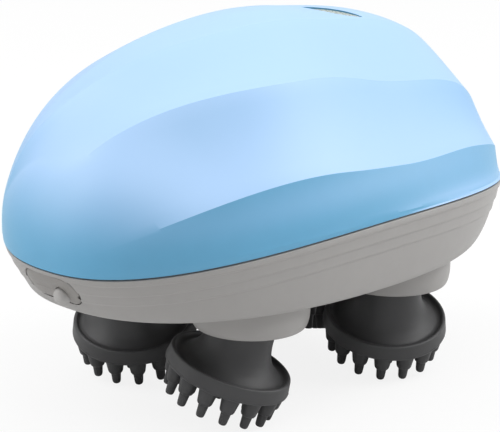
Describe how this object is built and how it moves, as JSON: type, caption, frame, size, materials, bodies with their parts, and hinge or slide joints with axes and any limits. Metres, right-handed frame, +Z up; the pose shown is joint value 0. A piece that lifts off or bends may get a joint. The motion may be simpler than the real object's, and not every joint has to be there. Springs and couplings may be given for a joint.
{
  "type": "scalp massager",
  "caption": "Palm-sized powered scalp massager: fluted egg-shaped dome on a grey bowl, with canted silicone finger heads that spin and wobble beneath it.",
  "frame": {"origin": "centre of the footprint at the height of the finger tips", "axes": "+X along the body from the button end to the tail, +Z up through the dome"},
  "size_m": [0.1362, 0.0842, 0.0905],
  "materials": {
    "blue_shell": "satin, soft touch",
    "grey_shell": "satin",
    "seal": "matte",
    "lens": "translucent gloss",
    "board": "solder mask",
    "panel_grey": "satin",
    "button_grey": "soft touch",
    "silicone": "matte silicone",
    "core_plastic": "moulded",
    "steel": "ground",
    "acetal": "natural acetal",
    "bronze": "sintered bronze",
    "plate_plastic": "moulded",
    "motor_can": "plated",
    "cell_wrap": "shrink sleeve",
    "screw_steel": "zinc"
  },
  "bodies": {
    "housing": {"top_shell": "blue_shell", "lower_shell": "grey_shell", "seam_seal": "seal", "indicator_lens": "lens", "light_board": "board", "button_panel": "panel_grey", "switch_board": "board", "spindle_bushes": "bronze", "gear_plate": "plate_plastic", "motor": "motor_can", "motor_bracket": "motor_can", "battery": "cell_wrap", "battery_cradle": "core_plastic", "circuit_board": "board", "charge_socket": "motor_can", "plate_screws": "screw_steel", "shell_screws": "screw_steel"},
    "head_a_body": {"head_a": "silicone", "core_a": "core_plastic", "spindle_a": "steel", "gear_a": "acetal"},
    "head_b_body": {"head_b": "silicone", "core_b": "core_plastic", "spindle_b": "steel", "gear_b": "acetal"},
    "head_c_body": {"head_c": "silicone", "core_c": "core_plastic", "spindle_c": "steel", "gear_c": "acetal"},
    "head_d_body": {"head_d": "silicone", "core_d": "core_plastic", "spindle_d_pin": "steel", "gear_d": "acetal"},
    "idler_a_body": {"idler_a": "acetal", "idler_a_shaft": "steel", "drive_wheel": "acetal"},
    "idler_b_body": {"idler_b": "acetal", "idler_b_shaft": "steel"},
    "rotor": {"motor_pinion": "bronze"},
    "button": {"power_button": "button_grey"}
  },
  "joints": [
    {"name": "head_a_spin", "type": "hinge", "parent": "housing", "child": "head_a_body", "pos_m": [-0.0234, -0.02, 0.03], "axis": [0, 0, 1], "continuous": true},
    {"name": "head_b_spin", "type": "hinge", "parent": "housing", "child": "head_b_body", "pos_m": [0.0246, -0.02, 0.03], "axis": [0, 0, 1], "continuous": true},
    {"name": "head_c_spin", "type": "hinge", "parent": "housing", "child": "head_c_body", "pos_m": [-0.0234, 0.02, 0.03], "axis": [0, 0, 1], "continuous": true},
    {"name": "head_d_spin", "type": "hinge", "parent": "housing", "child": "head_d_body", "pos_m": [0.0246, 0.02, 0.03], "axis": [0, 0, 1], "continuous": true},
    {"name": "idler_a_spin", "type": "hinge", "parent": "housing", "child": "idler_a_body", "pos_m": [0.0006, -0.013, 0.04], "axis": [0, 0, 1], "continuous": true},
    {"name": "idler_b_spin", "type": "hinge", "parent": "housing", "child": "idler_b_body", "pos_m": [0.0006, 0.013, 0.04], "axis": [0, 0, 1], "continuous": true},
    {"name": "motor_spin", "type": "hinge", "parent": "housing", "child": "rotor", "pos_m": [0.0006, 0.011, 0.05], "axis": [0, 0, 1], "continuous": true},
    {"name": "button_press", "type": "slide", "parent": "housing", "child": "button", "axis": [1, 0, 0], "range_m": [0, 0.0006], "stiffness_N_per_m": 600, "springref_m": -0.0002}
  ],
  "couplings": [
    {"joint": "head_b_spin", "follows": "head_a_spin", "ratio": 1},
    {"joint": "head_c_spin", "follows": "head_a_spin", "ratio": -1},
    {"joint": "head_d_spin", "follows": "head_a_spin", "ratio": -1},
    {"joint": "idler_a_spin", "follows": "head_a_spin", "ratio": -0.92308},
    {"joint": "idler_b_spin", "follows": "head_a_spin", "ratio": 0.92308},
    {"joint": "motor_spin", "follows": "head_a_spin", "ratio": 2.5385}
  ]
}
